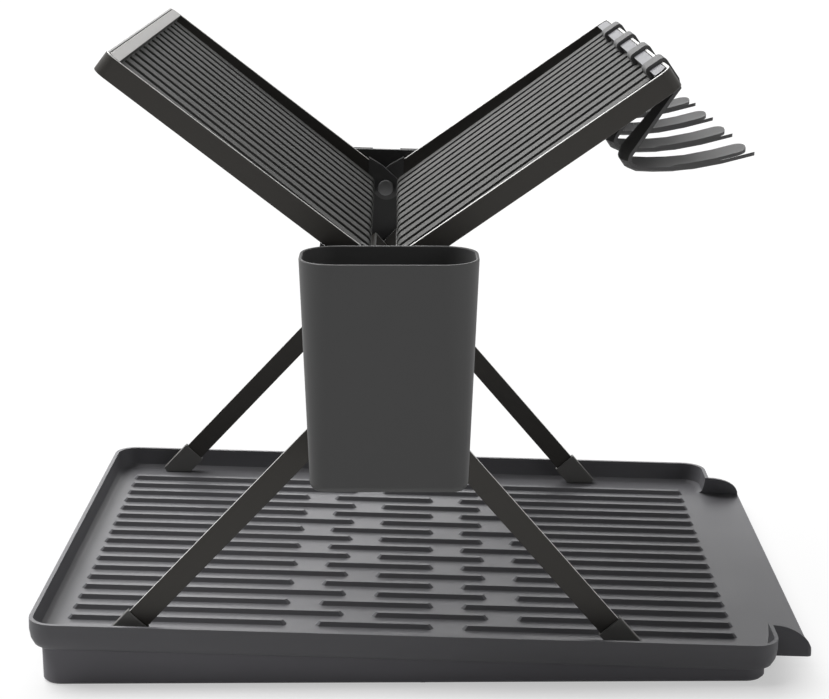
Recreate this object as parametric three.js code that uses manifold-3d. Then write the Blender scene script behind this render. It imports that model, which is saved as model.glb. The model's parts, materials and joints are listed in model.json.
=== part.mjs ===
// Foldable dish rack: two folding wings and two folding legs on a pair of hub plates,
// standing in a ribbed drip tray on a sloping base, with a cutlery holder and four cup hooks.
// Millimetres, +Z up, +X towards the spout, +Y to the back.
import * as THREE from 'three';
import { mergeGeometries, mergeVertices } from 'three/addons/utils/BufferGeometryUtils.js';
import Module from 'manifold-3d';

const wasm = await Module();
wasm.setup();

const degree = Math.PI / 180;

// Common fits
const seat = 0.3; // gap between pieces that rest on or in each other
const runningGap = 0.4; // gap between pieces that turn past each other
const weld = 0.0001; // vertices closer than this are one
const overrun = 5; // how far cutters and fused stubs reach past a face

// Drip tray
const trayWalledLength = 456; // from the left face to the right wall's outer face
const spoutReach = 24;
const trayDepth = 373;
const trayWall = 2.5;
const trayFloor = 2.5;
const rimHeight = 15; // above the floor's top
const trayCorner = 16;
const trayTuck = 5; // how far the wall curves in at its foot
const tuckShares = [1, 0.62, 0.2, 0]; // of the tuck, going up the wall
const straightShare = 0.55; // of the rim's height, where the wall stands straight
const floorFillet = 2.4; // the soft corner between floor and wall
const filletShare = 0.3; // of the fillet's width, its height
const spoutInset = 28.5; // the spout's sides inside the tray's
const spoutRoot = 79; // how far the spout's form runs back into the tray
const spoutCorner = 3;
const cheekStep = 0.4; // the spout's cheeks start this far below the rim
const cheekLean = 7.5; // how far the cheeks lean in at the rim
const cheekLeanShares = [0, 0, 0.1, 0.42, 1]; // of the lean, going up the wall
const traySlope = 2.05 * degree; // the floor falls towards the spout
const floorHeight = 18.3; // floor's top above the table, at the middle
const lugSize = 14;
const lugHeight = 4;

// Floor ribs of the tray
const ribPitch = 18;
const ribSideMargin = 32; // from the tray's front and back
const ribMargin = 17; // from the tray's left face
const ribSpoutMargin = 19; // from the right wall's outer face
const ribWidth = 6;
const ribCrest = 3.6;
const ribEndSlope = 2.6;
const ribHeight = 2.8;
const ribRoundShare = 0.6; // corner radius as a share of the half width
const ribNotch = 18; // gaps that let the water cross the rows
const notchFar = 63.5; // notch places from the ribs' middle
const notchNear = 28.5;

// Base
const baseInset = 7; // inside the tray's outer face
const baseWall = 2.5;
const baseFootEdge = 1.5;
const baseWeb = 3;

// Rack, placed on the tray's floor
const rackOffset = 20.8; // the rack stands left of the walled length's middle
const rackY = 3.5;
const rackTurn = 1.08 * degree; // the rack stands a little turned in its tray
const wingPivotHeight = 228.1;
const pivotDrop = 52.6; // the leg axle is this far below the wing pins
const stripThickness = 2;
const footMargin = 12; // from the tray's side to the outer strips' middle
const layerStep = 5.4;
const shoeThickness = 5;

// Wings
const wingAngle = 36.3 * degree;
const wingLength = 206;
const wingStripLow = 4.2; // strip below and above the pin's level line
const wingStripHigh = 8.95;
const wingStripStart = 9;
const wingBend = 8;
const panelAngle = 1.1 * degree; // the panel rises a little against the strips
const panelStart = 0.5; // rib tops' height over the pin, at the pin
const panelSkin = 2.5;
const panelRibHeight = 2;
const panelRibs = 15;
const panelRibFlank = 0.4;
const panelCrest = 13.4;
const ledgeWidth = 7.5;
const ledgeThickness = 2;
const slotHalf = 8.3; // half the slot between the wings
const lipDrop = 4;
const lipBend = 6;
const notchStart = 28; // the panel is full width beyond this
const bossLength = 12;
const bossHeight = 3;
const bossSetbacks = [68.4, 26.4]; // back from the wing's end

// Hinge pins and shoes
const pinRadius = 3;
const pinHeadRadius = 5.8;
const pinHeadThickness = 3;
const shoeReach = 13; // the shoe's plumb end, out from the pin
const shoeRadius = 9;
const shoeWall = 1.4;
const shoeCrown = 2.4;
const shoeArcStart = 118 * degree;
const shoeArcEnd = 300 * degree;

// Hub plates
const hubThickness = 3.5;
const hubHalf = 40;
const hubTop = 27; // above the wing pins
const frontHubTop = 21; // the front plate stays below the holder's rim
const hubBottom = 32; // below the leg axle
const hubCorner = 10;
const pocketHalf = 30;
const pocketWall = 3.5;
const pocketSkin = 2;
const pocketDepth = 3.3;
const pocketFloor = 2; // the pocket's underside over the wing pins
const pocketPlay = 4; // how far the holder's rail can slide to each side
const railWeb = 6; // half the width of the holder's rail web
const stopStart = 27;
const stopEnd = 37;
const stopDrop = 5;
const legStopStart = 29;
const legStopEnd = 39;

// Legs
const footEndMargin = 70; // the legs' middle lines reach the floor this far inside the walled ends
const legStripHalf = 7.1;
const legStripGap = 11.8; // from the strip's end along the leg to the floor
const legBend = 5;
const leftLegHead = 22.5; // the cross part's outer face beyond the axle
const rightLegHead = 18.5;
const axleRadius = 3;
const axleCapRadius = 6.5;
const axleCapThickness = 3;

// Foot caps
const capLength = 21.5; // along the leg's middle line to the floor
const capHalf = 8.5;
const capThickness = 5;
const capToeRise = 3; // the slanted toe's height
const toeSlantShare = 0.4; // of the toe's height, how far its foot is set back

// Cutlery holder
const holderWidth = 101;
const holderFootWidth = 90;
const holderDepth = 57;
const holderFootDepth = 50;
const holderHeight = 133.6;
const holderTop = 24.4; // above the wing pins
const holderShift = 3.8; // it has slid to the low side of its pocket
const holderLean = 1.37 * degree; // and hangs nearer to plumb than the rack
const holderCorner = 21;
const holderFootCorner = 10;
const holderEdge = 4.5;
const holderWall = 2;
const holderFloor = 2.5;
const drainLength = 28;
const drainWidth = 5;
const drainPitch = 11;
const drainCount = 3;

// Cup hooks, with places in, out and down from the wing's tip in the rack's frame
const hookThickness = 2;
const hookClipWidth = 21;
const hookWidth = 42;
const hookBulge = 3;
const hookClipRound = 1.8; // radius of the clip's middle line at its upper corners
const hookSide = 49.3; // from the panel's sides to the outer hooks' middles, unshifted
const hookShift = -13.2; // the hooks sit nearer to the front
const hookCount = 4;
const hookJawHeight = 0.6;
const hookDrop = 5;
const hookBendIn = 22.6;
const hookBendDrop = 47;
const hookFloorIn = 8;
const hookFloorDrop = 54.7;
const hookBendRadius = 8;
const hookMidOut = 14.5;
const hookMidDrop = 52.9;
const hookReachOut = 31;
const hookReachDrop = 49.3;
const hookTipOut = 51;
const hookTipDrop = 43.6;
const hookSlotOut = 2.4;
const hookSlotNear = 16; // slot edges from the hook's middle
const hookSlotFar = 4.5;
const hookNearRound = 2.2; // corner radii of the prongs' tips
const hookFarRound = 7;
const hookFlareShare = 0.15; // of the widening, at the band's first step
const hookBandShares = [0.3, 0.6, 0.85]; // of the way down the band, and of its widening
const hookTurnShares = [[-0.09, 0.56], [0.16, 0.21], [0.64, 0.02]]; // of the bend's radius, out and up
const hookRiseShare = 0.3; // of the prongs' rise, halfway to their middle
const mitreShare = 0.5; // least cosine that a bend's thickness is corrected by

// Materials' looks
const trayGrey = 0x6a6b6f;
const baseGrey = 0x525357;
const plasticGrey = 0x55565a;
const wingGrey = 0x626366;
const stripDark = 0x2f2e2c;
const pinGrey = 0x6b6c6e;

// Helpers

function solid(geometry) {
  const bare = geometry.clone();
  bare.deleteAttribute('normal');
  bare.deleteAttribute('uv');
  const merged = mergeVertices(bare, weld);
  return new wasm.Manifold(new wasm.Mesh({
    numProp: 3,
    vertProperties: new Float32Array(merged.attributes.position.array),
    triVerts: new Uint32Array(merged.index.array),
  }));
}

function geometryOf(manifold) {
  const mesh = manifold.getMesh();
  const geometry = new THREE.BufferGeometry();
  geometry.setAttribute('position', new THREE.BufferAttribute(new Float32Array(mesh.vertProperties), 3));
  geometry.setIndex(new THREE.BufferAttribute(new Uint32Array(mesh.triVerts), 1));
  return geometry;
}

// Closed skin through rings of equal point counts, each ring counter-clockwise seen from its top.
function loft(rings) {
  const count = rings[0].length;
  const last = (rings.length - 1) * count;
  const index = [];
  for (let ring = 0; ring < rings.length - 1; ring += 1) {
    for (let k = 0; k < count; k += 1) {
      const a = ring * count + k;
      const b = ring * count + ((k + 1) % count);
      index.push(a, b, b + count, a, b + count, a + count);
    }
  }
  const flat = (ring) => ring.map((point) => new THREE.Vector2(point.x, point.y));
  for (const [a, b, c] of THREE.ShapeUtils.triangulateShape(flat(rings[0]), [])) {
    index.push(a, c, b);
  }
  for (const [a, b, c] of THREE.ShapeUtils.triangulateShape(flat(rings[rings.length - 1]), [])) {
    index.push(last + a, last + b, last + c);
  }
  const geometry = new THREE.BufferGeometry();
  const positions = rings.flat().flatMap((point) => [point.x, point.y, point.z]);
  geometry.setAttribute('position', new THREE.Float32BufferAttribute(positions, 3));
  geometry.setIndex(index);
  return geometry;
}

// Rounded rectangle ring at height z.
function ring(x0, x1, y0, y1, radius, z, steps = 6) {
  const points = [];
  const centres = [[x1 - radius, y0 + radius], [x1 - radius, y1 - radius], [x0 + radius, y1 - radius],
    [x0 + radius, y0 + radius]];
  centres.forEach(([cx, cy], corner) => {
    for (let k = 0; k <= steps; k += 1) {
      const angle = (corner - 1 + k / steps) * 90 * degree;
      points.push(new THREE.Vector3(cx + radius * Math.cos(angle), cy + radius * Math.sin(angle), z));
    }
  });
  return points;
}

function box(x0, x1, y0, y1, z0, z1) {
  const geometry = new THREE.BoxGeometry(x1 - x0, y1 - y0, z1 - z0);
  return geometry.translate((x0 + x1) / 2, (y0 + y1) / 2, (z0 + z1) / 2);
}

// Outline in x and z, extruded from y0 to y1.
function slab(points, y0, y1) {
  const shape = points instanceof THREE.Shape ? points : new THREE.Shape(points);
  const depth = y1 - y0;
  const geometry = new THREE.ExtrudeGeometry(shape, { depth, bevelEnabled: false, curveSegments: 6 });
  return geometry.rotateX(90 * degree).translate(0, y1, 0);
}

function rodY(radius, y0, y1, x, z, sides = 24) {
  const geometry = new THREE.CylinderGeometry(radius, radius, y1 - y0, sides);
  return geometry.translate(x, (y0 + y1) / 2, z);
}

function point(x, z) {
  return new THREE.Vector2(x, z);
}

function mirrored(geometry, x, y) {
  const copy = geometry.clone().scale(x, y, 1);
  if (x * y < 0) {
    const index = copy.index;
    for (let k = 0; k < index.count; k += 3) {
      const held = index.getX(k);
      index.setX(k, index.getX(k + 2));
      index.setX(k + 2, held);
    }
  }
  return copy;
}

function cut(body, ...cutters) {
  return cutters.reduce((rest, cutter) => rest.subtract(solid(cutter)), body);
}

function join(...geometries) {
  return geometries.map(solid).reduce((whole, next) => whole.add(next));
}

// Places that several pieces share

const overallLength = trayWalledLength + spoutReach;
const trayLeft = -overallLength / 2;
const trayRight = trayLeft + trayWalledLength;
const lipX = trayLeft + overallLength;
const trayHalf = trayDepth / 2;
const spoutHalf = trayHalf - spoutInset;
const ribLength = trayWalledLength - ribMargin - ribSpoutMargin;
const ribRows = Math.round((trayDepth - 2 * ribSideMargin) / ribPitch) + 1;
const outerLayer = trayHalf - footMargin; // the outer strips' middle from the rack's middle
const innerLayer = outerLayer - layerStep;
const innerFace = innerLayer - stripThickness / 2;
const outerFace = outerLayer - stripThickness / 2;
const outerShoeFace = outerLayer + shoeThickness / 2;
const innerShoeFace = innerLayer - shoeThickness / 2;
const hubFace = outerShoeFace + runningGap;
const hubBack = hubFace + hubThickness;
const skinStart = hubBack + pocketDepth;
const skinFace = skinStart + pocketSkin;
const panelHalf = innerFace - seat;
const panelNarrow = innerShoeFace - seat;
const panelEnd = wingLength - stripThickness - seat - ledgeWidth;
const rackX = (trayLeft + trayRight) / 2 - rackOffset;
const axleHeight = wingPivotHeight - pivotDrop;
const legAngle = Math.atan2(axleHeight, trayWalledLength / 2 - footEndMargin);
const legReach = (axleHeight - seat) / Math.sin(legAngle);
const legStripEnd = legReach - legStripGap;
const capStart = legReach - capLength;
const wingTipX = wingLength * Math.cos(wingAngle);
const wingTipHigh = wingLength * Math.sin(wingAngle);
const hookPitch = (2 * (panelHalf - hookSide)) / (hookCount - 1);

// The tray wall's section as [height, inset] pairs, from the underside to the rim,
// and the hollow's, from the floor's top.
const wallHeights = [-trayFloor, -trayFloor / 2, trayFloor, rimHeight * straightShare];
const wallSection = wallHeights.map((height, k) => [height, trayTuck * tuckShares[k]]);
wallSection.push([rimHeight, 0]);
const floorInset = trayTuck * tuckShares[1] + trayWall;
const hollowSection = [
  [0, floorInset + floorFillet],
  [floorFillet * filletShare, floorInset],
  ...wallSection.slice(2).map(([height, inset]) => [height, inset + trayWall]),
  [rimHeight + overrun, trayWall],
];

// The same for the spout's cheeks.
const cheekSection = wallSection.map(([height], k) => [height, cheekLean * cheekLeanShares[k]]);
const sinkSection = [
  [0, trayWall + floorFillet],
  [floorFillet * filletShare, trayWall],
  ...cheekSection.slice(2).map(([height, inset]) => [height, inset + trayWall]),
  [rimHeight + overrun, cheekLean + trayWall],
];

// Base and tray

function trayRing(inset, z) {
  const side = trayHalf - inset;
  return ring(trayLeft + inset, trayRight - inset, -side, side, trayCorner - inset, z);
}

function spoutRing(inset, reach, z) {
  const side = spoutHalf - inset;
  return ring(trayRight - spoutRoot, lipX + reach, -side, side, spoutCorner, z);
}

function ribBar(x0, x1, y) {
  const half = ribWidth / 2;
  const high = ribCrest / 2;
  const foot = half * ribRoundShare;
  const crest = high * ribRoundShare;
  return loft([
    ring(x0, x1, y - half, y + half, foot, -trayFloor / 2, 1),
    ring(x0, x1, y - half, y + half, foot, 0, 1),
    ring(x0 + ribEndSlope, x1 - ribEndSlope, y - high, y + high, crest, ribHeight, 1),
  ]);
}

function ribField() {
  const start = trayLeft + ribMargin;
  const end = start + ribLength;
  const middle = (start + end) / 2;
  const bars = [];
  for (let row = 0; row < ribRows; row += 1) {
    const y = ((ribRows - 1) / 2 - row) * ribPitch;
    const places = row % 2 === 0 ? [-notchFar, notchNear] : [-notchNear, notchFar];
    const edges = [start, ...places.flatMap((place) => [middle + place - ribNotch / 2,
      middle + place + ribNotch / 2]), end];
    for (let k = 0; k < edges.length; k += 2) {
      bars.push(ribBar(edges[k], edges[k + 1], y));
    }
  }
  return mergeGeometries(bars);
}

function trayGeometry() {
  const hollow = hollowSection.map(([z, inset]) => trayRing(inset, z));
  const sink = sinkSection.map(([z, inset]) => spoutRing(inset, overrun, z));
  const cheekHigh = rimHeight - cheekStep;
  const cheek = [];
  for (let k = 0; k <= 8; k += 1) {
    const angle = (k / 8) * 90 * degree;
    cheek.push(point(lipX - spoutReach * (1 - Math.sin(angle)), cheekHigh * Math.cos(angle)));
  }
  cheek.push(point(lipX + overrun, 0), point(lipX + overrun, rimHeight + overrun));
  cheek.push(point(lipX - spoutReach, rimHeight + overrun));
  const shell = join(
    loft(wallSection.map(([z, inset]) => trayRing(inset, z))),
    loft(cheekSection.map(([z, inset]) => spoutRing(inset, 0, z))),
  );
  const lugOut = baseInset + baseWall + seat;
  const lugs = [];
  for (const side of [-1, 1]) {
    for (const x of [trayLeft + lugOut + trayCorner, trayRight - lugOut - trayCorner - lugSize]) {
      const [y0, y1] = side > 0
        ? [trayHalf - lugOut - lugSize, trayHalf - lugOut]
        : [-trayHalf + lugOut, -trayHalf + lugOut + lugSize];
      lugs.push(box(x, x + lugSize, y0, y1, -trayFloor - lugHeight, -trayFloor / 2));
    }
  }
  const body = cut(
    shell,
    loft(hollow),
    loft(sink),
    slab(cheek, -trayHalf, trayHalf),
  );
  return geometryOf(body.add(solid(ribField())).add(join(...lugs)));
}

function baseGeometry() {
  const left = trayLeft + baseInset;
  const right = trayRight - baseInset;
  const half = trayHalf - baseInset;
  const high = floorHeight + overallLength / 2;
  const radius = trayCorner - baseInset / 2;
  const skirt = (inset, z, shrink) => (
    ring(left + inset, right - inset, -half + inset, half - inset, radius - shrink, z));
  const body = cut(
    solid(loft([skirt(baseFootEdge, 0, baseFootEdge), skirt(0, baseFootEdge, 0), skirt(0, high, 0)])),
    loft([skirt(baseWall, -overrun, baseWall), skirt(baseWall, high + overrun, baseWall)]),
  );
  const webs = join(
    box(left + baseWall / 2, right - baseWall / 2, -baseWeb / 2, baseWeb / 2, 0, high),
    box(-baseWeb / 2, baseWeb / 2, -half + baseWall / 2, half - baseWall / 2, 0, high),
  );
  const above = box(-overallLength, overallLength, -trayDepth, trayDepth, -trayFloor - seat, high * 2);
  above.rotateY(traySlope).translate(0, 0, floorHeight);
  return geometryOf(cut(body.add(webs), above));
}

// Wings, in a frame with x along the wing, z square to it and the pin at the origin

function uFrame(start, head, bend, low, high, layer) {
  const outer = layer + stripThickness / 2;
  const inner = layer - stripThickness / 2;
  const shape = new THREE.Shape();
  const turn = Math.sign(head - start);
  const corner = bend - stripThickness;
  const arc = (radius) => {
    const points = [];
    for (let k = 0; k <= 6; k += 1) {
      const angle = (k / 6) * 90 * degree;
      const cx = head - turn * bend;
      const cy = outer - bend;
      points.push([cx + turn * radius * Math.sin(angle), cy + radius * Math.cos(angle)]);
    }
    return points;
  };
  const out = arc(bend);
  const inside = arc(corner);
  shape.moveTo(start, outer);
  out.forEach(([x, y]) => shape.lineTo(x, y));
  [...out].reverse().forEach(([x, y]) => shape.lineTo(x, -y));
  shape.lineTo(start, -outer);
  shape.lineTo(start, -inner);
  inside.forEach(([x, y]) => shape.lineTo(x, -y));
  [...inside].reverse().forEach(([x, y]) => shape.lineTo(x, y));
  shape.lineTo(start, inner);
  const geometry = new THREE.ExtrudeGeometry(shape, { depth: high - low, bevelEnabled: false });
  return geometry.translate(0, 0, low);
}

function wingFrameGeometry(layer) {
  return geometryOf(solid(
    uFrame(wingStripStart, wingLength, wingBend, -wingStripLow, wingStripHigh, layer)));
}

// Line of the panel's section at a depth below the rib tops, from the lip's foot to the outer end.
function panelLine(depth, end) {
  const slope = wingAngle + panelAngle;
  const start = panelStart / Math.cos(wingAngle);
  const cx = slotHalf + lipBend;
  const cz = start + cx * Math.tan(slope) - lipBend / Math.cos(slope);
  const radius = lipBend - depth;
  const points = [[slotHalf + depth, -lipDrop]];
  for (let k = 0; k <= 4; k += 1) {
    const angle = 180 * degree - (k / 4) * (90 * degree - slope);
    points.push([cx + radius * Math.cos(angle), cz + radius * Math.sin(angle)]);
  }
  const along = end - (cx * Math.cos(wingAngle) + cz * Math.sin(wingAngle));
  const reach = along / Math.cos(panelAngle);
  points.push([
    cx + radius * -Math.sin(slope) + reach * Math.cos(slope),
    cz + radius * Math.cos(slope) + reach * Math.sin(slope),
  ]);
  return points.map(([x, z]) => point(
    x * Math.cos(wingAngle) + z * Math.sin(wingAngle),
    -x * Math.sin(wingAngle) + z * Math.cos(wingAngle),
  ));
}

function panelGeometry(layer) {
  const end = panelEnd + panelSkin / 2;
  const top = panelLine(panelRibHeight, end);
  const bottom = panelLine(panelRibHeight + panelSkin, end).reverse();
  const low = bottom[0].y;
  const plate = slab([...top, ...bottom], -panelHalf, panelHalf);
  const ledgeEnd = panelEnd + ledgeWidth;
  const ledgeUnder = wingStripHigh - ledgeThickness;
  const ledge = slab([
    point(panelEnd, low), point(panelEnd + panelSkin, low),
    point(panelEnd + panelSkin, ledgeUnder), point(ledgeEnd, ledgeUnder),
    point(ledgeEnd, wingStripHigh), point(panelEnd, wingStripHigh),
  ], -panelHalf, panelHalf);
  const pitch = (2 * panelHalf) / panelRibs;
  const ribs = [];
  const foot = panelLine(panelRibHeight + panelSkin / 2, end).reverse();
  const crest = panelLine(0, end);
  for (let k = 0; k < panelRibs; k += 1) {
    const y = (k - (panelRibs - 1) / 2) * pitch;
    ribs.push(ribAlong(crest, [...foot].reverse(), y));
  }
  let body = join(plate, ledge).add(solid(mergeGeometries(ribs)));
  const deep = lipDrop + overrun + shoeRadius;
  for (const side of [-1, 1]) {
    const y0 = side * panelNarrow;
    const y1 = side * (panelHalf + overrun);
    body = cut(body, box(-overrun, notchStart, Math.min(y0, y1), Math.max(y0, y1), -deep, deep + overrun));
  }
  const corner = wingBend - stripThickness;
  body = body.intersect(solid(loft([-deep, wingStripHigh + overrun].map((z) => (
    ring(-deep, ledgeEnd, -panelHalf, panelHalf, corner, z))))));
  const reach = layer - stripThickness / 2 - seat;
  if (reach > panelHalf) {
    for (const side of [-1, 1]) {
      for (const setback of bossSetbacks) {
        const place = wingLength - setback;
        const y0 = side * (panelHalf - overrun);
        const y1 = side * reach;
        body = body.add(solid(box(
          place - bossLength / 2, place + bossLength / 2,
          Math.min(y0, y1), Math.max(y0, y1), low - bossHeight / 2, low + bossHeight / 2,
        )));
      }
    }
  }
  return geometryOf(body);
}

// One rib of the panel: crest line and foot line swept to a trapezoid section.
function ribAlong(crest, foot, y) {
  const half = panelCrest / 2;
  const wide = half + panelRibFlank;
  const rings = crest.map((high, k) => {
    const low = foot[k];
    return [
      new THREE.Vector3(low.x, y - wide, low.y), new THREE.Vector3(high.x, y - half, high.y),
      new THREE.Vector3(high.x, y + half, high.y), new THREE.Vector3(low.x, y + wide, low.y),
    ];
  });
  return strand(rings);
}

// Closed skin along rings that stand across x, each clockwise seen from +x.
function strand(rings) {
  const count = rings[0].length;
  const last = (rings.length - 1) * count;
  const index = [];
  for (let at = 0; at < rings.length - 1; at += 1) {
    for (let k = 0; k < count; k += 1) {
      const a = at * count + k;
      const b = at * count + ((k + 1) % count);
      index.push(a, a + count, b + count, a, b + count, b);
    }
  }
  for (let k = 1; k < count - 1; k += 1) {
    index.push(0, k, k + 1, last, last + k + 1, last + k);
  }
  const geometry = new THREE.BufferGeometry();
  const positions = rings.flat().flatMap((place) => [place.x, place.y, place.z]);
  geometry.setAttribute('position', new THREE.Float32BufferAttribute(positions, 3));
  geometry.setIndex(index);
  return geometry;
}

function shoeGeometry(layer) {
  const low = -wingStripLow - shoeWall;
  const high = wingStripHigh + shoeWall;
  const end = (z) => (shoeReach + z * Math.sin(wingAngle)) / Math.cos(wingAngle);
  const outline = [point(end(low), low), point(end(high), high), point(end(high) / 2, high + shoeCrown / 2)];
  const steps = 12;
  for (let k = 0; k <= steps; k += 1) {
    const angle = shoeArcStart + ((shoeArcEnd - shoeArcStart) * k) / steps;
    const swell = 1 + (shoeCrown / shoeRadius) * (1 - k / steps) ** 2;
    outline.push(point(shoeRadius * swell * Math.cos(angle), shoeRadius * swell * Math.sin(angle)));
  }
  const half = shoeThickness / 2;
  const slotHalfWidth = stripThickness / 2 + seat;
  return geometryOf(cut(
    solid(slab(outline, layer - half, layer + half)),
    box(wingStripStart - seat, end(high) + overrun, layer - slotHalfWidth, layer + slotHalfWidth,
      -wingStripLow - seat, wingStripHigh + seat),
    rodY(pinRadius + seat, layer - shoeThickness, layer + shoeThickness, 0, 0),
  ));
}

function wingPinGeometry() {
  const headEnd = innerShoeFace - seat;
  return geometryOf(join(
    rodY(pinHeadRadius, headEnd - pinHeadThickness, headEnd, 0, 0, 32),
    rodY(pinRadius, headEnd - pinHeadThickness / 2, hubBack - seat, 0, 0),
  ));
}

// Hub plates, in the rack's frame with the wing pin at the origin, on the +y side

function hubGeometry(outerSide, high) {
  const foot = -pivotDrop - hubBottom;
  const r = hubCorner;
  const shape = new THREE.Shape();
  shape.moveTo(-hubHalf + r, foot);
  shape.lineTo(hubHalf - r, foot);
  shape.absarc(hubHalf - r, foot + r, r, -90 * degree, 0);
  shape.lineTo(hubHalf, high - r);
  shape.absarc(hubHalf - r, high - r, r, 0, 90 * degree);
  shape.lineTo(-hubHalf + r, high);
  shape.absarc(-hubHalf + r, high - r, r, 90 * degree, 180 * degree);
  shape.lineTo(-hubHalf, foot + r);
  shape.absarc(-hubHalf + r, foot + r, r, 180 * degree, 270 * degree);
  const plate = slab(shape, hubFace, hubBack);
  const pocket = cut(
    solid(box(-pocketHalf, pocketHalf, hubBack - hubThickness / 2, skinFace, pocketFloor, high)),
    box(-pocketHalf + pocketWall, pocketHalf - pocketWall, hubBack, skinStart, pocketFloor + pocketSkin,
      high + overrun),
    box(-railWeb - pocketPlay - seat, railWeb + pocketPlay + seat, hubBack + pocketDepth / 2,
      skinFace + overrun, pocketFloor + pocketSkin, high + overrun),
  );
  let body = solid(plate).add(pocket);
  for (const side of [-1, 1]) {
    const wingReach = (side === outerSide ? outerFace : innerFace);
    const legReach = (side === outerSide ? innerFace : outerFace);
    body = body.add(solid(slab(wingStop(side), wingReach, hubFace + hubThickness / 2)));
    body = body.add(solid(slab(legStop(side), legReach, hubFace + hubThickness / 2)));
  }
  return geometryOf(cut(
    body,
    rodY(pinRadius + seat, hubFace - overrun, hubBack + seat, 0, 0),
    rodY(axleRadius + seat, hubFace - overrun, skinFace + overrun, 0, -pivotDrop),
  ));
}

// Ledge below a wing's strip, parallel to its lower edge.
function wingStop(side) {
  const level = (x) => x * Math.tan(wingAngle) - (wingStripLow + seat) / Math.cos(wingAngle);
  return [
    point(side * stopStart, level(stopStart)), point(side * stopEnd, level(stopEnd)),
    point(side * stopEnd, level(stopStart) - stopDrop), point(side * stopStart, level(stopStart) - stopDrop),
  ];
}

// Ledge above a leg's strip, parallel to its upper edge.
function legStop(side) {
  const near = legStripHalf + seat;
  const far = near + stopDrop;
  const place = (along, across) => point(
    side * (along * Math.cos(legAngle) + across * Math.sin(legAngle)),
    -pivotDrop - along * Math.sin(legAngle) + across * Math.cos(legAngle),
  );
  return [
    place(legStopStart, near), place(legStopEnd, near),
    place(legStopEnd, far), place(legStopStart, far),
  ];
}

// Legs, in a frame with x along the leg to the foot, z square to it and the axle at the origin

function legFrameGeometry(layer, head) {
  const frame = uFrame(legStripEnd, -head, legBend, -legStripHalf, legStripHalf, layer);
  return geometryOf(cut(solid(frame), rodY(axleRadius + seat, -trayDepth, trayDepth, 0, 0)));
}

function capGeometry(layer) {
  const drop = axleHeight - seat;
  const along = (down, across) => (down + across * Math.cos(legAngle)) / Math.sin(legAngle);
  const side = along(drop - capToeRise, capHalf);
  const reach = side * Math.cos(legAngle) + capHalf * Math.sin(legAngle) - capToeRise * toeSlantShare;
  const toe = point(
    reach * Math.cos(legAngle) + drop * Math.sin(legAngle),
    reach * Math.sin(legAngle) - drop * Math.cos(legAngle),
  );
  const outline = [
    point(capStart, -capHalf), point(along(drop, -capHalf), -capHalf), toe,
    point(side, capHalf), point(capStart, capHalf),
  ];
  const half = capThickness / 2;
  const slotHalfWidth = stripThickness / 2 + seat;
  return geometryOf(cut(
    solid(slab(outline, layer - half, layer + half)),
    box(capStart - overrun, legStripEnd + seat, layer - slotHalfWidth, layer + slotHalfWidth,
      -legStripHalf - seat, legStripHalf + seat),
  ));
}

function axleGeometry() {
  const end = hubBack + seat + axleCapThickness;
  return geometryOf(solid(rodY(axleRadius, -end + axleCapThickness / 2, end - axleCapThickness / 2, 0, 0)));
}

function axleCapGeometry() {
  const start = hubBack + seat;
  return geometryOf(cut(
    solid(rodY(axleCapRadius, start, start + axleCapThickness, 0, 0, 32)),
    rodY(axleRadius + seat, start - overrun, start + axleCapThickness / 2 + seat, 0, 0),
  ));
}

// Cutlery holder, in the rack's frame with the wing pins' level at z = 0, in front

function holderGeometry() {
  const back = -skinFace - seat;
  const foot = holderTop - holderHeight;
  const level = (z, inset) => {
    const share = (z - foot) / holderHeight;
    const width = holderFootWidth + (holderWidth - holderFootWidth) * share - 2 * inset;
    const depth = holderFootDepth + (holderDepth - holderFootDepth) * share;
    const corner = holderFootCorner + (holderCorner - holderFootCorner) * share - inset;
    return ring(-width / 2, width / 2, back - depth + inset, back - inset, corner, z, 8);
  };
  const rounding = [0, 30, 60, 90].map((angle) => [
    foot + holderEdge * (1 - Math.cos(angle * degree)), holderEdge * (1 - Math.sin(angle * degree))]);
  const outer = rounding.map(([z, inset]) => level(z, inset));
  outer.push(level(holderTop, 0));
  const hollow = [
    level(foot + holderFloor, holderWall + holderEdge / 2),
    level(foot + holderEdge, holderWall),
    level(holderTop + overrun, holderWall),
  ];
  const drains = [];
  for (let k = 0; k < drainCount; k += 1) {
    const x = (k - (drainCount - 1) / 2) * drainPitch;
    const y = back - holderFootDepth / 2;
    drains.push(box(x - drainWidth / 2, x + drainWidth / 2, y - drainLength / 2, y + drainLength / 2,
      foot - overrun, foot + holderEdge));
  }
  const flangeFace = -hubBack - seat;
  const flangeHalf = pocketHalf - pocketWall - pocketPlay - seat;
  const flangeLow = pocketFloor + pocketSkin + seat + flangeHalf * Math.sin(holderLean);
  const rail = join(
    box(-flangeHalf, flangeHalf, -skinStart + seat, flangeFace, flangeLow, frontHubTop),
    box(-railWeb, railWeb, back - holderWall / 2, -skinStart + seat, flangeLow, frontHubTop),
  );
  const cup = cut(solid(loft(outer)), loft(hollow), ...drains);
  return geometryOf(cup.add(rail));
}

// Cup hooks, in the wing's frame

// Place that is out from the wing's tip and down from it in the rack's frame.
function tipPlace(out, down) {
  return point(
    wingLength + out * Math.cos(wingAngle) - down * Math.sin(wingAngle),
    -out * Math.sin(wingAngle) - down * Math.cos(wingAngle),
  );
}

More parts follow.
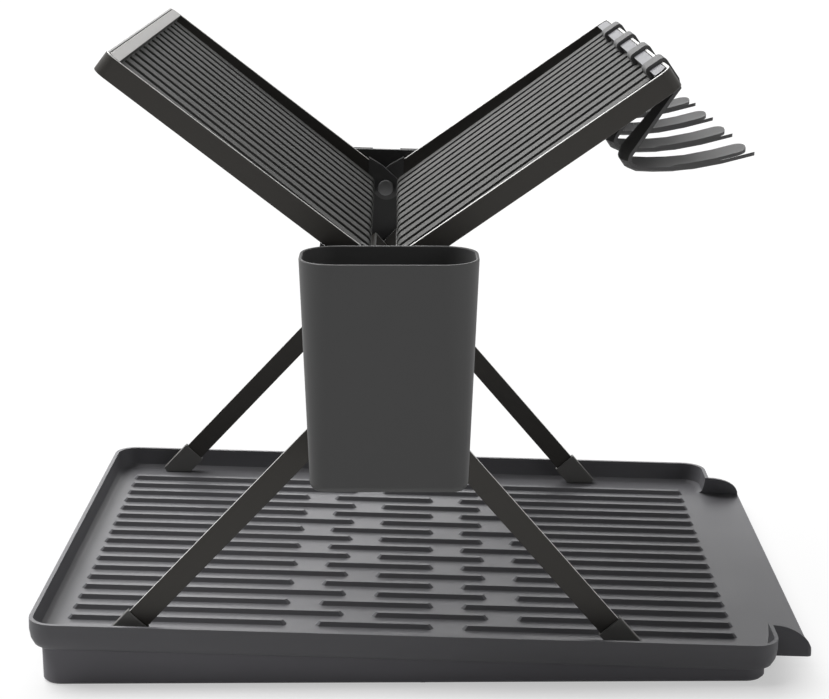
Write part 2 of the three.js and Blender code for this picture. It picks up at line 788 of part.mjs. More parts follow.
function hookPath() {
  const half = hookThickness / 2;
  const jaw = panelEnd - seat - half;
  const top = wingStripHigh + seat + half;
  const outside = wingLength + seat + half;
  const rise = panelStart + jaw * Math.tan(panelAngle);
  const stations = [[point(jaw, rise + hookJawHeight), 0]];
  const round = [0, 30, 60, 90].map((angle) => [
    hookClipRound * (1 - Math.cos(angle * degree)), hookClipRound * (1 - Math.sin(angle * degree))]);
  for (const [out, down] of round) {
    stations.push([point(jaw + out, top - down), 0]);
  }
  for (const [out, down] of [...round].reverse()) {
    stations.push([point(outside - out, top - down), 0]);
  }
  stations.push(
    [point(outside, -wingStripLow), 0],
    [point(outside - hookThickness, -wingStripLow - hookDrop), hookFlareShare],
  );
  const high = stations[stations.length - 1][0];
  const bend = tipPlace(-hookBendIn, hookBendDrop);
  for (const share of hookBandShares) {
    stations.push([high.clone().lerp(bend, share), share]);
  }
  stations.push([bend, 1]);
  const turn = hookTurnShares.map(([out, up]) => [
    hookBendRadius * out - hookBendIn, hookFloorDrop - hookBendRadius * up]);
  const fork = [
    [-hookFloorIn, hookFloorDrop],
    [(hookMidOut - hookFloorIn) / 2, hookFloorDrop - (hookFloorDrop - hookMidDrop) * hookRiseShare],
    [hookMidOut, hookMidDrop],
    [hookReachOut, hookReachDrop],
    [hookTipOut, hookTipDrop],
  ];
  for (const [out, down] of [...turn, ...fork]) {
    stations.push([tipPlace(out, down), 1]);
  }
  return stations;
}

function hookGeometry() {
  const stations = hookPath();
  const across = 4;
  const rings = stations.map(([place, share], at) => {
    const before = stations[Math.max(at - 1, 0)][0];
    const after = stations[Math.min(at + 1, stations.length - 1)][0];
    const into = place.clone().sub(before).normalize();
    const onward = after.clone().sub(place).normalize();
    const first = at === 0 ? onward : into;
    const second = at === stations.length - 1 ? into : onward;
    const along = first.clone().add(second).normalize();
    const stretch = 1 / Math.max(along.dot(first), mitreShare);
    const normal = point(along.y, -along.x).multiplyScalar(stretch);
    const half = (hookClipWidth + (hookWidth - hookClipWidth) * share) / 2;
    const upper = [];
    const lower = [];
    for (let k = 0; k <= across; k += 1) {
      const u = (2 * k) / across - 1;
      const swell = hookBulge * share * (1 - u * u);
      const y = u * half;
      const hi = place.clone().addScaledVector(normal, swell + hookThickness / 2);
      const lo = place.clone().addScaledVector(normal, swell - hookThickness / 2);
      upper.push(new THREE.Vector3(hi.x, y, hi.y));
      lower.push(new THREE.Vector3(lo.x, y, lo.y));
    }
    return [...upper, ...lower.reverse()];
  });
  const body = solid(strandSkin(rings, across + 1));
  return geometryOf(cut(
    body,
    forkCutter(slotShape()),
    forkCutter(tipShape(-hookWidth / 2, -hookSlotNear, hookNearRound)),
    forkCutter(tipShape(hookSlotFar, hookWidth / 2, hookFarRound)),
  ));
}

// Slot between the prongs, seen from above.
function slotShape() {
  const shape = new THREE.Shape();
  const radius = (hookSlotNear + hookSlotFar) / 2;
  const middle = (hookSlotFar - hookSlotNear) / 2;
  const end = wingTipX + hookTipOut + overrun;
  const root = wingTipX + hookSlotOut + radius;
  shape.moveTo(end, middle - radius);
  shape.lineTo(end, middle + radius);
  shape.lineTo(root, middle + radius);
  shape.absarc(root, middle, radius, 90 * degree, 270 * degree);
  return shape;
}

// What is cut away round a prong's tip, seen from above.
function tipShape(y0, y1, round) {
  const shape = new THREE.Shape();
  const end = wingTipX + hookTipOut - hookThickness / 2;
  const beyond = end + overrun;
  shape.moveTo(end - round, y0 - overrun);
  shape.lineTo(beyond, y0 - overrun);
  shape.lineTo(beyond, y1 + overrun);
  shape.lineTo(end - round, y1 + overrun);
  shape.lineTo(end - round, y1);
  shape.absarc(end - round, y1 - round, round, 90 * degree, 0, true);
  shape.absarc(end - round, y0 + round, round, 0, -90 * degree, true);
  return shape;
}

// The cutters go straight down in the rack's frame, turned here into the wing's.
function forkCutter(shape) {
  const depth = hookFloorDrop - hookTipDrop + 2 * (overrun + hookBulge);
  const geometry = new THREE.ExtrudeGeometry(shape, { depth, bevelEnabled: false, curveSegments: 8 });
  const low = wingTipHigh - hookFloorDrop - overrun - hookBulge;
  return geometry.translate(0, 0, low).rotateY(wingAngle);
}

// Closed skin along rings made of an upper and a lower row of points.
function strandSkin(rings, row) {
  const count = 2 * row;
  const last = (rings.length - 1) * count;
  const index = [];
  for (let at = 0; at < rings.length - 1; at += 1) {
    for (let k = 0; k < count; k += 1) {
      const a = at * count + k;
      const b = at * count + ((k + 1) % count);
      index.push(a, b, b + count, a, b + count, a + count);
    }
  }
  for (let k = 0; k < row - 1; k += 1) {
    const under = count - 1 - k;
    index.push(k, under, under - 1, k, under - 1, k + 1);
    index.push(last + k, last + under - 1, last + under, last + k, last + k + 1, last + under - 1);
  }
  const geometry = new THREE.BufferGeometry();
  const positions = rings.flat().flatMap((place) => [place.x, place.y, place.z]);
  geometry.setAttribute('position', new THREE.Float32BufferAttribute(positions, 3));
  geometry.setIndex(index);
  return geometry;
}

// Scene

function finish(color, roughness, metalness = 0) {
  return new THREE.MeshStandardMaterial({ color, roughness, metalness });
}

function mesh(name, geometry, material) {
  const piece = new THREE.Mesh(geometry, material);
  piece.name = name;
  return piece;
}

const part = new THREE.Group();
part.add(mesh('tray_base', baseGeometry(), finish(baseGrey, 0.6)));

const tray = new THREE.Group();
tray.position.z = floorHeight;
tray.rotation.y = traySlope;
tray.add(mesh('drip_tray', trayGeometry(), finish(trayGrey, 0.55)));
part.add(tray);

const rack = new THREE.Group();
rack.position.set(rackX, rackY, 0);
rack.rotation.z = rackTurn;
tray.add(rack);

const top = new THREE.Group();
top.position.z = wingPivotHeight;
rack.add(top);

top.add(mesh('hub_back', hubGeometry(1, hubTop), finish(plasticGrey, 0.6)));
top.add(mesh('hub_front', mirrored(hubGeometry(1, frontHubTop), 1, -1), finish(plasticGrey, 0.6)));
const pin = wingPinGeometry();
top.add(mesh('wing_pin_back', pin, finish(pinGrey, 0.5)));
top.add(mesh('wing_pin_front', mirrored(pin, 1, -1), finish(pinGrey, 0.5)));
const holder = mesh('cutlery_holder', holderGeometry(), finish(plasticGrey, 0.6));
holder.position.x = holderShift;
holder.rotation.y = -holderLean;
top.add(holder);

const wings = [
  { name: 'right', side: 1, layer: outerLayer },
  { name: 'left', side: -1, layer: innerLayer },
];
for (const { name, side, layer } of wings) {
  const wing = new THREE.Group();
  wing.rotation.y = -side * wingAngle;
  top.add(wing);
  const frame = mirrored(wingFrameGeometry(layer), side, 1);
  wing.add(mesh(`${name}_wing_frame`, frame, finish(stripDark, 0.45, 0.3)));
  wing.add(mesh(`${name}_wing_panel`, mirrored(panelGeometry(layer), side, 1), finish(wingGrey, 0.55)));
  const shoe = shoeGeometry(layer);
  wing.add(mesh(`${name}_shoe_back`, mirrored(shoe, side, 1), finish(plasticGrey, 0.6)));
  wing.add(mesh(`${name}_shoe_front`, mirrored(shoe, side, -1), finish(plasticGrey, 0.6)));
  if (side > 0) {
    const hook = hookGeometry();
    for (let k = 0; k < hookCount; k += 1) {
      const piece = mesh(`cup_hook_${k + 1}`, hook.clone(), finish(plasticGrey, 0.5));
      piece.position.y = hookShift + (k - (hookCount - 1) / 2) * hookPitch;
      wing.add(piece);
    }
  }
}

const low = new THREE.Group();
low.position.z = axleHeight;
rack.add(low);
low.add(mesh('leg_axle', axleGeometry(), finish(pinGrey, 0.4, 0.6)));
const axleCap = axleCapGeometry();
low.add(mesh('axle_cap_back', axleCap, finish(pinGrey, 0.5)));
low.add(mesh('axle_cap_front', mirrored(axleCap, 1, -1), finish(pinGrey, 0.5)));

const legs = [
  { name: 'left', side: -1, layer: outerLayer, head: leftLegHead },
  { name: 'right', side: 1, layer: innerLayer, head: rightLegHead },
];
for (const { name, side, layer, head } of legs) {
  const leg = new THREE.Group();
  leg.rotation.y = side * legAngle;
  low.add(leg);
  const frame = mirrored(legFrameGeometry(layer, head), side, 1);
  leg.add(mesh(`${name}_leg_frame`, frame, finish(stripDark, 0.45, 0.3)));
  const cap = capGeometry(layer);
  leg.add(mesh(`${name}_foot_back`, mirrored(cap, side, 1), finish(plasticGrey, 0.6)));
  leg.add(mesh(`${name}_foot_front`, mirrored(cap, side, -1), finish(plasticGrey, 0.6)));
}

export default part;
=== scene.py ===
"""Finishes, softened edges and a pale studio for a foldable dish rack."""

import json
import math

import bpy
from bpy.props import FloatProperty, FloatVectorProperty, IntProperty, PointerProperty
from bpy.types import Operator, Panel, PropertyGroup
from mathutils import Euler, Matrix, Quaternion, Vector

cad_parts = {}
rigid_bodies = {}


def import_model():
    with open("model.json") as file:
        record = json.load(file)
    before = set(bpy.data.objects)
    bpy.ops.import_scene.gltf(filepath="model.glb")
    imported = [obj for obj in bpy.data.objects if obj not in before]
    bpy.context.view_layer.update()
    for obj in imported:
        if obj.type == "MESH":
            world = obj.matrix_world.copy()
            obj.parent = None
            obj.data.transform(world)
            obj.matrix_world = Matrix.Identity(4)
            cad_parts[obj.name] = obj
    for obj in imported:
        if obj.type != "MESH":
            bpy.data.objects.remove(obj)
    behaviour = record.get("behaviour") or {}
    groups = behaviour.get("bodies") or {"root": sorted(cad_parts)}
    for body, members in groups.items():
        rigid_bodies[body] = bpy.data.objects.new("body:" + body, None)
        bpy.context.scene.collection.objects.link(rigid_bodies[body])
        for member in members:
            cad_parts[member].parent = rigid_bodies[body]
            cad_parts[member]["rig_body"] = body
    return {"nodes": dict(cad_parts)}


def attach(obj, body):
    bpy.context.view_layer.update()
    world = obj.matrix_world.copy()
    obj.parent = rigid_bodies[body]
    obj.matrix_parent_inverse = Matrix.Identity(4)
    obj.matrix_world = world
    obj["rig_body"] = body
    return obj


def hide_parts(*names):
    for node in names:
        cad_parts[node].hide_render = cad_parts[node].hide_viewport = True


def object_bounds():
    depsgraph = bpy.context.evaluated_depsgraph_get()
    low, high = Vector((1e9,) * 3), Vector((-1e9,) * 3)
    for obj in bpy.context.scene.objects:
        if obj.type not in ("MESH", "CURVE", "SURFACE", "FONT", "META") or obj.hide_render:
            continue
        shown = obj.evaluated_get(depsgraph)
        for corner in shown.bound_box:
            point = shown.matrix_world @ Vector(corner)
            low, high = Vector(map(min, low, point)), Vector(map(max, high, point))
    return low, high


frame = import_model()
cad_low, cad_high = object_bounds()

bl_info = {
    "name": "Foldable dish rack",
    "version": (1, 0, 0),
    "blender": (4, 5, 0),
    "location": "3D View > Sidebar > Dish rack",
    "description": "Finishes a foldable dish rack and sets it in a pale studio",
    "category": "Object",
}

SIDES = ("left", "right")
ENDS = ("back", "front")
WHITE = (1, 1, 1, 1)

# Roughness, from 0 for a mirror to 1 for chalk
TRAY_ROUGHNESS = 0.5
BASE_ROUGHNESS = 0.55
WING_ROUGHNESS = 0.62
LEDGE_ROUGHNESS = 0.5
HUB_ROUGHNESS = 0.5
FOOT_ROUGHNESS = 0.52
PIN_ROUGHNESS = 0.45
HOLDER_ROUGHNESS = 0.5
HOOK_ROUGHNESS = 0.62
COAT_ROUGHNESS = 0.45
EDGE_ROUGHNESS = 0.4
STEEL_ROUGHNESS = (0.25, 0.45)
FLOOR_ROUGHNESS = 0.9

# Specular levels
SHEEN = 0.22
DULL_SHEEN = 0.12
FLOOR_SHEEN = 0.1

# Surface detail, with lengths in metres and the steel's lines per metre
TINT_SPREAD = 0.06
ROUGHNESS_SPREAD = 0.06
GRAINS_PER_CLOUD = 90
GRAIN_DETAIL = 3
CLOUD_DETAIL = 2
BUMP_STRENGTH = 0.6
COAT_GRAIN, COAT_DEPTH, COAT_METALLIC = 0.0009, 0.00003, 0.1
EDGE_GRAIN, EDGE_DEPTH, EDGE_METALLIC = 0.0005, 0.00002, 0.2
STEEL_LINES = 4000
STEEL_STRETCH = (1, 0.02, 1)

# Meshes, with lengths in metres and angles in degrees
MERGE_DISTANCE = 0.000002
FLAT_ANGLE = 0.4
CORNER_ANGLE = 40
SMOOTH_ANGLE = 35
LEDGE_DEPTH = 0.0006

# How far a face has to face up, from 0 to 1, to take the painted highlight of a strip's upper edge, or
# the painted light and shade of a ledge
EDGE_FACING = 0.3
LEDGE_FACING = 0.9

# Where each lamp stands, as seen from the rack, and its spread in degrees
LAMPS = {
    "key": ((-0.5, 0.2, 0.84), 40),
    "back": ((-0.2, 0.8, 0.55), 45),
    "fill": ((0.8, -0.5, 0.15), 40),
}

# Where the room's light starts to rise and where it is full, from -1 in front to 1 behind
ROOM_DIM_TO = -0.7
ROOM_FULL_FROM = 0.3

# The floor's side in metres, and the camera's sensor in millimetres
FLOOR_SIZE = 40
SENSOR_WIDTH = 36


def colour_property(name, description, default):
    """A linear colour that a user can change."""
    return FloatVectorProperty(
        name=name, description=description, default=default, size=3, min=0, max=1, subtype="COLOR"
    )


def length_property(name, description, default, precision=5):
    """A length in metres that a user can change."""
    return FloatProperty(
        name=name, description=description, default=default, unit="LENGTH", precision=precision
    )


def angle_property(name, description, degrees):
    """An angle that a user can change."""
    return FloatProperty(
        name=name, description=description, default=math.radians(degrees), subtype="ANGLE",
        unit="ROTATION",
    )


class RackFinish(PropertyGroup):
    """Colours and surface detail of the rack."""

    tray_colour: colour_property("Tray", "Colour of the drip tray", (0.158, 0.157, 0.166))
    base_colour: colour_property("Base", "Colour of the sloping base", (0.196, 0.192, 0.208))
    wing_colour: colour_property("Wings", "Colour of the ribbed panels", (0.088, 0.088, 0.085))
    # The ledge colours paint light: the left ledge's pale colour is a painted highlight, the right
    # ledge's darker colour painted shade from the hooks' clips
    left_ledge_lit_colour: colour_property("Left ledge", "Colour of the bare ledge", (0.64, 0.63, 0.615))
    right_ledge_shaded_colour: colour_property(
        "Right ledge", "Colour of the ledge with hooks", (0.26, 0.26, 0.275)
    )
    moulded_colour: colour_property("Mouldings", "Colour of holder and shoes", (0.114, 0.114, 0.114))
    # The hub plates are darker than the other mouldings: painted shade in the slot between the shoes
    hub_shade_colour: colour_property("Hub", "Colour of the hub plates", (0.055, 0.055, 0.055))
    foot_colour: colour_property("Feet", "Colour of the caps on the legs", (0.190, 0.188, 0.180))
    hook_colour: colour_property("Hooks", "Colour of the cup hooks", (0.165, 0.164, 0.164))
    pin_colour: colour_property("Pins", "Colour of pin heads and axle caps", (0.290, 0.290, 0.292))
    strip_colour: colour_property("Strips", "Colour of the coated strips", (0.074, 0.070, 0.064))
    # The strips' edge colour is a painted highlight on their upward edge faces, where light from above
    # falls
    edge_highlight_colour: colour_property(
        "Strip edges", "Colour of the strips' rubbed edges", (0.74, 0.735, 0.72)
    )
    axle_colour: colour_property("Axle", "Colour of the bare axle", (0.45, 0.45, 0.45))
    grain: length_property("Grain", "Size of the moulded grain", 0.0006)
    grain_depth: length_property("Grain depth", "Height of the moulded grain", 0.00004, precision=6)


class RackEdges(PropertyGroup):
    """How far each kind of edge is softened."""

    moulded: length_property("Moulded", "Radius on small mouldings", 0.0009)
    panel: length_property("Panel", "Radius on the panels' ribs", 0.0007)
    tray: length_property("Tray", "Radius on the tray's rim and ribs", 0.0006)
    hook: length_property("Hook", "Radius on the cup hooks", 0.0011)
    strip: length_property("Strip", "Radius on the metal strips", 0.0007)
    steps: IntProperty(
        name="Steps", description="Facets across a softened edge", default=3, min=1, max=6
    )


class RackStudio(PropertyGroup):
    """Camera, lamps and floor."""

    camera_place: FloatVectorProperty(
        name="Camera", description="Where the camera stands", default=(0.01029, -1.31096, 0.48934),
        size=3, subtype="TRANSLATION", unit="LENGTH",
    )
    camera_pitch: angle_property("Pitch", "Camera's tilt up from straight down", 76.09)
    camera_yaw: angle_property("Yaw", "Camera's turn to the left", 0.68)
    camera_roll: angle_property("Roll", "Camera's turn about its own line of sight", -0.52)
    lens: FloatProperty(name="Lens", description="Focal length in millimetres", default=86.85)
    key: FloatProperty(
        name="Key", description="Strength of the broad light from the upper left", default=2.2
    )
    back: FloatProperty(
        name="Back", description="Strength of the low light from behind", default=1.6
    )
    fill: FloatProperty(
        name="Fill", description="Strength of the soft light from the right", default=0.35
    )
    room: FloatProperty(
        name="Room", description="Strength of the light from all round", default=0.15
    )
    room_front: FloatProperty(
        name="Room front", description="The room's share of light in front", default=0.3
    )
    floor_shade: FloatProperty(
        name="Shade", description="The floor's shaded share close to the base", default=0.52
    )
    floor_far_shade: FloatProperty(
        name="Far shade", description="The floor's shaded share away from it", default=0.08
    )
    floor_reach: length_property("Reach", "How far the deeper shade reaches", 0.05)
    floor_bounce: FloatProperty(
        name="Bounce", description="The floor's white as it lights the rack", default=0.6
    )


# Materials


def nodes_of(name):
    """A new material, its nodes, its links and its shader."""
    material = bpy.data.materials.new(name)
    material.use_nodes = True
    tree = material.node_tree
    return material, tree.nodes, tree.links, tree.nodes["Principled BSDF"]


def noise(nodes, links, place, size, detail):
    """Noise whose features are size metres across."""
    texture = nodes.new("ShaderNodeTexNoise")
    texture.inputs["Scale"].default_value = 1 / size
    texture.inputs["Detail"].default_value = detail
    links.new(place.outputs["Object"], texture.inputs["Vector"])
    return texture.outputs["Fac"]


def between(nodes, links, value, low, high):
    """A value from 0 to 1 spread over low to high."""
    spread = nodes.new("ShaderNodeMapRange")
    spread.inputs["To Min"].default_value = low
    spread.inputs["To Max"].default_value = high
    links.new(value, spread.inputs["Value"])
    return spread.outputs["Result"]


def combined(nodes, links, operation, first, second):
    """Two values, each a number or another node's result, joined by an operation."""
    step = nodes.new("ShaderNodeMath")
    step.operation = operation
    for socket, value in zip(step.inputs, (first, second)):
        if isinstance(value, (int, float)):
            socket.default_value = value
        else:
            links.new(value, socket)
    return step.outputs["Value"]


def coated(name, colour, roughness, grain, depth, metallic=0, specular=SHEEN):
    """A plain surface with fine grain, faint clouding and uneven gloss."""
    material, nodes, links, shader = nodes_of(name)
    place = nodes.new("ShaderNodeTexCoord")
    fine = noise(nodes, links, place, grain, GRAIN_DETAIL)
    broad = noise(nodes, links, place, grain * GRAINS_PER_CLOUD, CLOUD_DETAIL)
    tint = nodes.new("ShaderNodeMix")
    tint.data_type = "RGBA"
    for socket, share in (("A", 1 - TINT_SPREAD), ("B", 1 + TINT_SPREAD)):
        tint.inputs[socket].default_value = [channel * share for channel in colour] + [1]
    links.new(broad, tint.inputs["Factor"])
    links.new(tint.outputs["Result"], shader.inputs["Base Color"])
    gloss = between(nodes, links, broad, roughness - ROUGHNESS_SPREAD, roughness + ROUGHNESS_SPREAD)
    links.new(gloss, shader.inputs["Roughness"])
    bump = nodes.new("ShaderNodeBump")
    bump.inputs["Distance"].default_value = depth
    bump.inputs["Strength"].default_value = BUMP_STRENGTH
    links.new(fine, bump.inputs["Height"])
    links.new(bump.outputs["Normal"], shader.inputs["Normal"])
    shader.inputs["Metallic"].default_value = metallic
    shader.inputs["Specular IOR Level"].default_value = specular
    return material


def drawn_steel(name, colour):
    """Drawn steel with fine lines along its length."""
    material, nodes, links, shader = nodes_of(name)
    place = nodes.new("ShaderNodeTexCoord")
    stretch = nodes.new("ShaderNodeMapping")
    stretch.inputs["Scale"].default_value = STEEL_STRETCH
    links.new(place.outputs["Object"], stretch.inputs["Vector"])
    lines = nodes.new("ShaderNodeTexNoise")
    lines.inputs["Scale"].default_value = STEEL_LINES
    links.new(stretch.outputs["Vector"], lines.inputs["Vector"])
    gloss = between(nodes, links, lines.outputs["Fac"], *STEEL_ROUGHNESS)
    links.new(gloss, shader.inputs["Roughness"])
    shader.inputs["Base Color"].default_value = [*colour, 1]
    shader.inputs["Metallic"].default_value = 1
    return material


# Shapes


def hold(piece):
    """Makes a piece the only one selected, and the active one."""
    bpy.ops.object.select_all(action="DESELECT")
    piece.select_set(True)
    bpy.context.view_layer.objects.active = piece


def settle(piece, node, material):
    """Gives a piece its finish and its body, in place of a node."""
    piece.data.materials.clear()
    piece.data.materials.append(material)
    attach(piece, frame["nodes"][node]["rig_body"])
    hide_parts(node)


def merged_copy(node, name):
    """A copy of a node's shape with its corners merged and its flat faces whole."""
    piece = bpy.data.objects.new(name, frame["nodes"][node].data.copy())
    bpy.context.scene.collection.objects.link(piece)
    hold(piece)
    bpy.ops.object.mode_set(mode="EDIT")
    bpy.ops.mesh.select_all(action="SELECT")
    bpy.ops.mesh.customdata_custom_splitnormals_clear()
    bpy.ops.mesh.remove_doubles(threshold=MERGE_DISTANCE)
    bpy.ops.mesh.dissolve_limited(angle_limit=math.radians(FLAT_ANGLE))
    bpy.ops.object.mode_set(mode="OBJECT")
    return piece


def softened(node, material, edge):
    """A node's shape with its sharp edges rounded and its flat faces shaded evenly."""
    piece = merged_copy(node, f"{node}_finished")
    bevel = piece.modifiers.new("edges", "BEVEL")
    bevel.width = edge
    bevel.segments = bpy.context.scene.rack_edges.steps
    bevel.limit_method = "ANGLE"
    bevel.angle_limit = math.radians(CORNER_ANGLE)
    bpy.ops.object.modifier_apply(modifier=bevel.name)
    bpy.ops.object.shade_smooth_by_angle(angle=math.radians(SMOOTH_ANGLE))
    even = piece.modifiers.new("even", "WEIGHTED_NORMAL")
    even.keep_sharp = True
    bpy.ops.object.modifier_apply(modifier=even.name)
    settle(piece, node, material)
    return piece


class RackOperator:
    """What the operators share: their options and the settings they read."""

    bl_options = {"REGISTER", "UNDO"}

    @property
    def finish(self):
        """The rack's colours and grain."""
        return bpy.context.scene.rack_finish

    @property
    def edges(self):
        """The radii of the rack's edges."""
        return bpy.context.scene.rack_edges

    def plastic(self, name, colour, roughness, specular=SHEEN):
        """A moulded plastic in one of the rack's colours."""
        grain, depth = self.finish.grain, self.finish.grain_depth
        return coated(name, colour, roughness, grain, depth, specular=specular)


class RACK_OT_tray(RackOperator, Operator):
    """Finish the drip tray and its sloping base"""

    bl_idname = "dish_rack.tray"
    bl_label = "Tray and base"

    def execute(self, context):
        tray = self.plastic("tray_plastic", self.finish.tray_colour, TRAY_ROUGHNESS)
        base = self.plastic("base_plastic", self.finish.base_colour, BASE_ROUGHNESS)
        softened("drip_tray", tray, self.edges.tray)
        softened("tray_base", base, self.edges.tray)
        return {"FINISHED"}


class RACK_OT_strips(RackOperator, Operator):
    """Finish the bent metal strips of wings and legs"""

    bl_idname = "dish_rack.strips"
    bl_label = "Strips"

    def paint_edge_highlight(self, strip, material):
        """Gives the upper long edge of a strip a painted highlight, in a finish of its own."""
        strip.data.materials.append(material)
        # The edges run round the whole bend, so their faces have the most corners
        up = max(strip.data.polygons, key=lambda face: len(face.vertices)).normal.copy()
        up *= math.copysign(1, up.z)
        for face in strip.data.polygons:
            if face.normal.dot(up) > EDGE_FACING:
                face.material_index = 1

    def execute(self, context):
        paint = coated(
            "powder_coat", self.finish.strip_colour, COAT_ROUGHNESS, COAT_GRAIN, COAT_DEPTH, COAT_METALLIC
        )
        # The light colour on the strips' upward edge faces is a painted highlight
        highlighted = coated(
            "rubbed_edge", self.finish.edge_highlight_colour, EDGE_ROUGHNESS, EDGE_GRAIN, EDGE_DEPTH, EDGE_METALLIC
        )
        for side in SIDES:
            for part in ("wing", "leg"):
                strip = softened(f"{side}_{part}_frame", paint, self.edges.strip)
                self.paint_edge_highlight(strip, highlighted)
        return {"FINISHED"}


class RACK_OT_panels(RackOperator, Operator):
    """Finish the two ribbed panels"""

    bl_idname = "dish_rack.panels"
    bl_label = "Wing panels"

    def paint_ledge_light(self, panel, material):
        """Gives the ledge, the panel's highest level, a finish of its own whose colour paints the light
        on it.
        """
        panel.data.materials.append(material)
        faces = panel.data.polygons
        # The panel's largest face is its underside
        up = -max(faces, key=lambda face: face.area).normal
        top = max(face.center.dot(up) for face in faces)
        for face in faces:
            if face.normal.dot(up) > LEDGE_FACING and face.center.dot(up) > top - LEDGE_DEPTH:
                face.material_index = 1

    def execute(self, context):
        plastic = self.plastic("wing_plastic", self.finish.wing_colour, WING_ROUGHNESS, DULL_SHEEN)
        # The left ledge takes painted light and the right ledge painted shade
        ledge_light_and_shade = (self.finish.left_ledge_lit_colour, self.finish.right_ledge_shaded_colour)
        for side, colour in zip(SIDES, ledge_light_and_shade):
            panel = softened(f"{side}_wing_panel", plastic, self.edges.panel)
            ledge_light = self.plastic(f"{side}_ledge_plastic", colour, LEDGE_ROUGHNESS, DULL_SHEEN)
            self.paint_ledge_light(panel, ledge_light)
        return {"FINISHED"}


class RACK_OT_mouldings(RackOperator, Operator):
    """Finish the hub plates, shoes and feet"""

    bl_idname = "dish_rack.mouldings"
    bl_label = "Hub, shoes and feet"

    def execute(self, context):
        # The hub plates' darker colour is painted shade
        hub = self.plastic("hub_plastic", self.finish.hub_shade_colour, HUB_ROUGHNESS)
        shoe = self.plastic("shoe_plastic", self.finish.moulded_colour, HUB_ROUGHNESS)
        foot = self.plastic("foot_plastic", self.finish.foot_colour, FOOT_ROUGHNESS)
        for end in ENDS:
            softened(f"hub_{end}", hub, self.edges.moulded)
            for side in SIDES:
                softened(f"{side}_shoe_{end}", shoe, self.edges.moulded)
                softened(f"{side}_foot_{end}", foot, self.edges.moulded)
        return {"FINISHED"}


class RACK_OT_pins(RackOperator, Operator):
    """Finish the hinge pins, the axle and its caps"""

    bl_idname = "dish_rack.pins"
    bl_label = "Pins and axle"

    def execute(self, context):
        plastic = self.plastic("pin_plastic", self.finish.pin_colour, PIN_ROUGHNESS)
        for end in ENDS:
            softened(f"wing_pin_{end}", plastic, self.edges.moulded)
            softened(f"axle_cap_{end}", plastic, self.edges.moulded)
        steel = drawn_steel("axle_steel", self.finish.axle_colour)
        softened("leg_axle", steel, self.edges.strip)
        return {"FINISHED"}


class RACK_OT_holder(RackOperator, Operator):
    """Finish the cutlery holder"""

    bl_idname = "dish_rack.holder"
    bl_label = "Cutlery holder"

    def execute(self, context):
        plastic = self.plastic("holder_plastic", self.finish.moulded_colour, HOLDER_ROUGHNESS)
        softened("cutlery_holder", plastic, self.edges.moulded)
        return {"FINISHED"}


class RACK_OT_hooks(RackOperator, Operator):
    """Finish the four cup hooks"""

    bl_idname = "dish_rack.hooks"
    bl_label = "Cup hooks"

    def execute(self, context):
        plastic = self.plastic("hook_plastic", self.finish.hook_colour, HOOK_ROUGHNESS, DULL_SHEEN)
        for hook in sorted(node for node in frame["nodes"] if node.startswith("cup_hook_")):
            softened(hook, plastic, self.edges.hook)
        return {"FINISHED"}


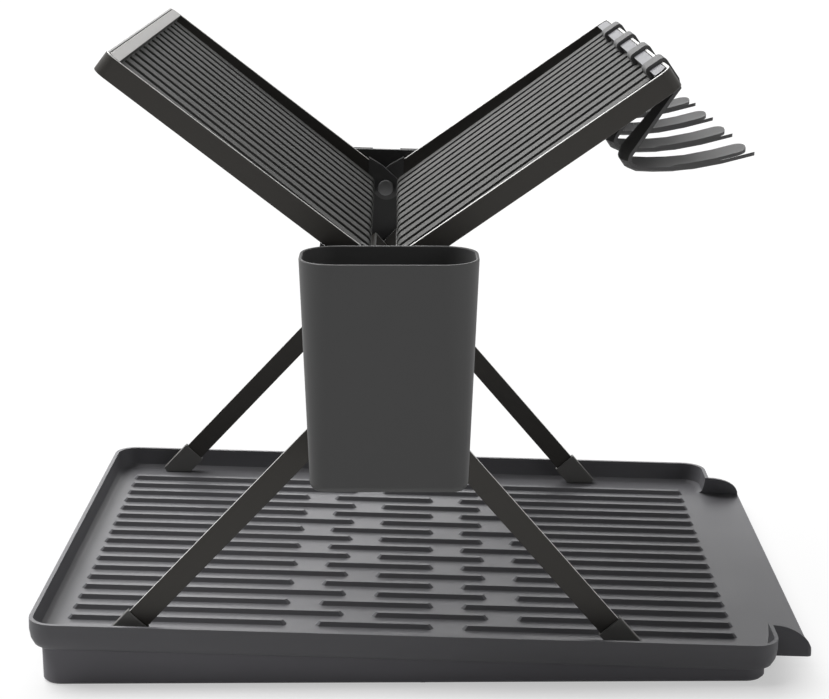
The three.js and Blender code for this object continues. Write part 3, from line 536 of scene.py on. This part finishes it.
class RACK_OT_studio(RackOperator, Operator):
    """Set up the floor, the lamps and the camera"""

    bl_idname = "dish_rack.studio"
    bl_label = "Studio"

    def lamp(self, name, side, spread, strength):
        """A broad, even light from one side."""
        light = bpy.data.lights.new(name, "SUN")
        light.energy = strength
        light.angle = math.radians(spread)
        piece = bpy.data.objects.new(name, light)
        piece.location = side
        piece.rotation_euler = Vector(side).to_track_quat("Z", "Y").to_euler()
        bpy.context.scene.collection.objects.link(piece)

    def camera(self, studio):
        """The camera at the photograph's angle."""
        eye = bpy.data.cameras.new("camera")
        eye.sensor_width = SENSOR_WIDTH
        eye.lens = studio.lens
        piece = bpy.data.objects.new("camera", eye)
        piece.location = studio.camera_place
        turn = Euler((studio.camera_pitch, 0, studio.camera_yaw)).to_quaternion()
        piece.rotation_euler = (turn @ Quaternion((0, 0, 1), studio.camera_roll)).to_euler()
        bpy.context.scene.collection.objects.link(piece)
        bpy.context.scene.camera = piece

    def rays(self, nodes, links):
        """1 where the camera looks, and 1 where a gloss or a clear piece looks."""
        path = nodes.new("ShaderNodeLightPath").outputs
        clear = combined(nodes, links, "MAXIMUM", path["Is Glossy Ray"], path["Is Transmission Ray"])
        return path["Is Camera Ray"], clear

    def shade(self, nodes, links, studio):
        """The floor's shaded share, deep beside the base and faint away from it."""
        base = frame["nodes"]["tray_base"]
        corners = [base.matrix_world @ Vector(corner) for corner in base.bound_box]
        low = [min(corner[axis] for corner in corners) for axis in range(2)]
        high = [max(corner[axis] for corner in corners) for axis in range(2)]
        steps = (
            ("SUBTRACT", [(low[0] + high[0]) / 2, (low[1] + high[1]) / 2, 0]),
            ("ABSOLUTE", None),
            ("SUBTRACT", [(high[0] - low[0]) / 2, (high[1] - low[1]) / 2, 0]),
            ("MAXIMUM", [0, 0, 0]),
            ("LENGTH", None),
        )
        value = nodes.new("ShaderNodeTexCoord").outputs["Object"]
        for operation, operand in steps:
            step = nodes.new("ShaderNodeVectorMath")
            step.operation = operation
            links.new(value, step.inputs[0])
            if operand:
                step.inputs[1].default_value = operand
            value = step.outputs["Value" if operation == "LENGTH" else "Vector"]
        fade = nodes.new("ShaderNodeMapRange")
        fade.interpolation_type = "SMOOTHSTEP"
        fade.inputs["From Max"].default_value = studio.floor_reach
        fade.inputs["To Min"].default_value = studio.floor_shade
        fade.inputs["To Max"].default_value = studio.floor_far_shade
        links.new(value, fade.inputs["Value"])
        return fade.outputs["Result"]

    def floor(self, studio):
        """A wide pale floor just under the base."""
        bpy.ops.object.select_all(action="DESELECT")
        bpy.ops.mesh.primitive_plane_add(size=FLOOR_SIZE, location=(0, 0, cad_low.z))
        floor = bpy.context.object
        floor.name = "floor"
        material, nodes, links, shader = nodes_of("pale_floor")
        shade = self.shade(nodes, links, studio)
        looks = combined(nodes, links, "MAXIMUM", *self.rays(nodes, links))
        white = nodes.new("ShaderNodeMix")
        white.inputs["A"].default_value = studio.floor_bounce
        links.new(looks, white.inputs["Factor"])
        links.new(shade, white.inputs["B"])
        links.new(white.outputs["Result"], shader.inputs["Base Color"])
        glow = combined(nodes, links, "SUBTRACT", 1, shade)
        shown = combined(nodes, links, "MULTIPLY", glow, looks)
        shader.inputs["Emission Color"].default_value = WHITE
        links.new(shown, shader.inputs["Emission Strength"])
        shader.inputs["Roughness"].default_value = FLOOR_ROUGHNESS
        shader.inputs["Specular IOR Level"].default_value = FLOOR_SHEEN
        floor.data.materials.append(material)

    def world(self, studio):
        """Light from all round, dimmer in front, and white behind the rack."""
        world = bpy.data.worlds.new("studio")
        bpy.context.scene.world = world
        world.use_nodes = True
        nodes, links = world.node_tree.nodes, world.node_tree.links
        backdrop = nodes["Background"]
        camera, clear = self.rays(nodes, links)
        level = between(nodes, links, clear, studio.room, 1)
        place = nodes.new("ShaderNodeSeparateXYZ")
        links.new(nodes.new("ShaderNodeTexCoord").outputs["Generated"], place.inputs["Vector"])
        behind = nodes.new("ShaderNodeMapRange")
        behind.interpolation_type = "SMOOTHSTEP"
        behind.inputs["From Min"].default_value = ROOM_DIM_TO
        behind.inputs["From Max"].default_value = ROOM_FULL_FROM
        behind.inputs["To Min"].default_value = studio.room_front
        links.new(place.outputs["Y"], behind.inputs["Value"])
        lit = combined(nodes, links, "MULTIPLY", level, behind.outputs["Result"])
        shown = combined(nodes, links, "MAXIMUM", lit, camera)
        links.new(shown, backdrop.inputs["Strength"])
        backdrop.inputs["Color"].default_value = WHITE

    def execute(self, context):
        studio = context.scene.rack_studio
        self.floor(studio)
        self.world(studio)
        for name, (side, spread) in LAMPS.items():
            self.lamp(name, side, spread, getattr(studio, name))
        self.camera(studio)
        context.scene.view_settings.view_transform = "Standard"
        return {"FINISHED"}


OPERATORS = (
    RACK_OT_tray,
    RACK_OT_strips,
    RACK_OT_panels,
    RACK_OT_mouldings,
    RACK_OT_pins,
    RACK_OT_holder,
    RACK_OT_hooks,
    RACK_OT_studio,
)


class RACK_PT_panel(Panel):
    """Lists the dish rack's steps"""

    bl_idname = "RACK_PT_panel"
    bl_label = "Dish rack"
    bl_space_type = "VIEW_3D"
    bl_region_type = "UI"
    bl_category = "Dish rack"

    def draw(self, context):
        for operator in OPERATORS:
            self.layout.operator(operator.bl_idname)


GROUPS = {"rack_finish": RackFinish, "rack_edges": RackEdges, "rack_studio": RackStudio}
CLASSES = (*GROUPS.values(), *OPERATORS, RACK_PT_panel)


def register():
    """Adds the classes, and the settings to the scene."""
    for kind in CLASSES:
        bpy.utils.register_class(kind)
    for name, group in GROUPS.items():
        setattr(bpy.types.Scene, name, PointerProperty(type=group))


def unregister():
    """Takes the settings and the classes away again."""
    for name in GROUPS:
        delattr(bpy.types.Scene, name)
    for kind in reversed(CLASSES):
        bpy.utils.unregister_class(kind)


def main():
    """Runs every step in order."""
    register()
    bpy.ops.dish_rack.tray()
    bpy.ops.dish_rack.strips()
    bpy.ops.dish_rack.panels()
    bpy.ops.dish_rack.mouldings()
    bpy.ops.dish_rack.pins()
    bpy.ops.dish_rack.holder()
    bpy.ops.dish_rack.hooks()
    bpy.ops.dish_rack.studio()


if __name__ == "__main__":
    main()
